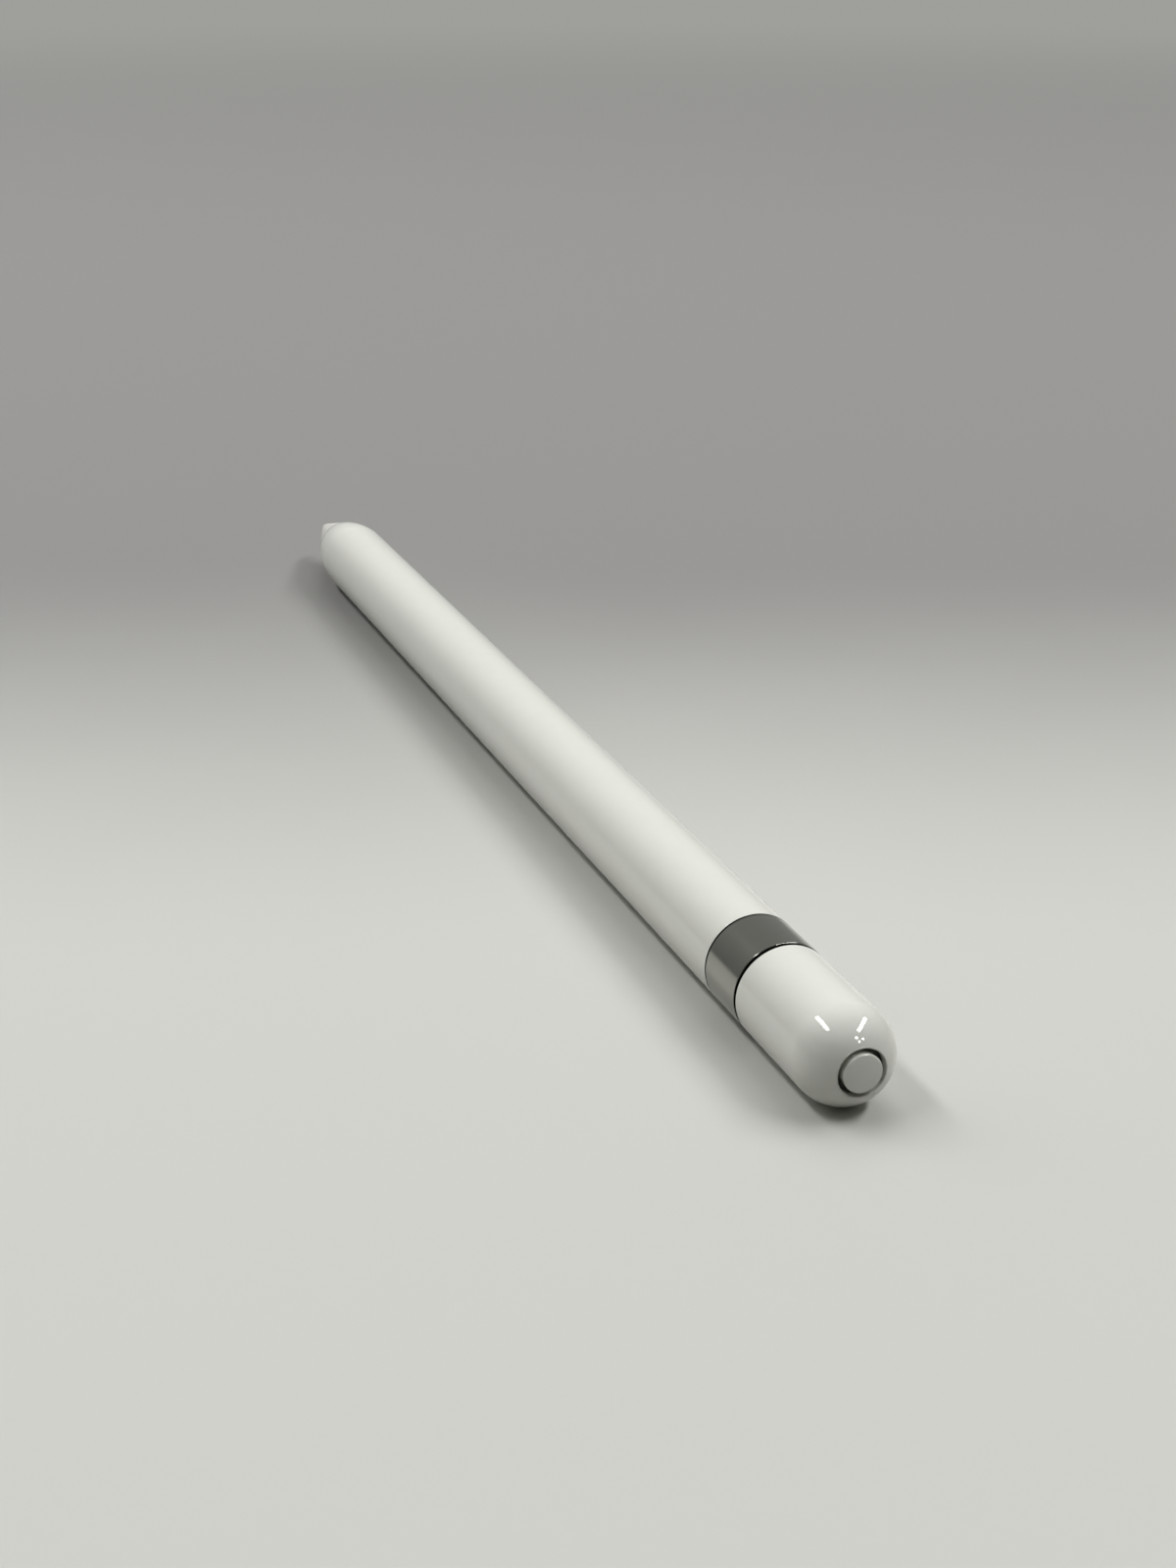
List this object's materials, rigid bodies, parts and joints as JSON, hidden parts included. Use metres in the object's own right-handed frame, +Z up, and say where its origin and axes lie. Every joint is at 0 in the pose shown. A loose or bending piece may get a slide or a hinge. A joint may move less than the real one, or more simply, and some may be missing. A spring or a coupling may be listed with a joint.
{
  "type": "tablet stylus",
  "caption": "Round white tablet stylus: tapered nose with a pressed, screw-on nib, steel band, and a magnetic cap that pulls off a charging plug.",
  "frame": {"origin": "under the middle of the pen as it lies on a table", "axes": "+X along the pen from the nib to the cap, +Z up"},
  "size_m": [0.1756, 0.0088, 0.0089],
  "materials": {
    "white_gloss": "gloss moulded white plastic",
    "nib_white": "white plastic, slightly softer gloss",
    "polished_steel": "mirror polished stainless steel",
    "plug_steel": "satin nickel-plated steel",
    "turned_steel": "turned stainless steel",
    "spring_steel": "etched spring steel",
    "brass": "turned brass",
    "copper": "bare copper alloy",
    "sleeve_alloy": "machined aluminium",
    "trough_steel": "rolled stainless sheet",
    "white_moulding": "moulded white plastic",
    "black_moulding": "moulded black plastic",
    "board_green": "solder mask on glass epoxy",
    "chip_black": "moulded chip packages",
    "tin_plate": "tinned and nickel sheet",
    "flex_amber": "polyimide film",
    "cell_sleeve": "shrink-sleeved cell can",
    "insulator_yellow": "insulating card",
    "contact_gold": "gold-plated contacts",
    "magnet_nickel": "nickel-plated ring magnet"
  },
  "bodies": {
    "barrel": {"barrel_tube": "white_gloss", "steel_band": "polished_steel", "plug_shell": "plug_steel", "clamp_ring": "turned_steel", "force_flexure": "spring_steel", "ring_electrode": "copper", "antenna_film": "copper", "sensor_sleeve": "sleeve_alloy", "chassis_trough": "trough_steel", "plug_housing": "white_moulding", "board_carrier": "white_moulding", "nose_bush": "black_moulding", "sensor_retainer": "black_moulding", "plug_insert": "black_moulding", "sensor_board": "board_green", "lower_board": "board_green", "upper_board": "board_green", "board_chips": "chip_black", "shield_can": "tin_plate", "battery_tabs": "tin_plate", "tip_flex": "flex_amber", "board_flex": "flex_amber", "plug_flex": "flex_amber", "battery_cell": "cell_sleeve", "battery_insulators": "insulator_yellow", "plug_contacts": "contact_gold"},
    "shaft": {"tip_shaft": "turned_steel", "shaft_nut": "turned_steel"},
    "nib": {"nib_shell": "nib_white", "nib_insert": "brass"},
    "cap": {"cap_shell": "white_gloss", "cap_magnet": "magnet_nickel", "cap_end_ring": "polished_steel", "cap_end_disc": "white_gloss"}
  },
  "joints": [
    {"name": "nib_press", "type": "slide", "parent": "barrel", "child": "shaft", "axis": [1, 0, 0], "range_m": [0, 0.0002], "stiffness_N_per_m": 2000, "deforming": ["force_flexure"]},
    {"name": "nib_unscrew", "type": "slide", "parent": "shaft", "child": "nib", "axis": [-1, 0, 0], "range_m": [0, 0.014]},
    {"name": "cap_pull", "type": "slide", "parent": "barrel", "child": "cap", "axis": [1, 0, 0], "range_m": [0, 0.03]}
  ]
}
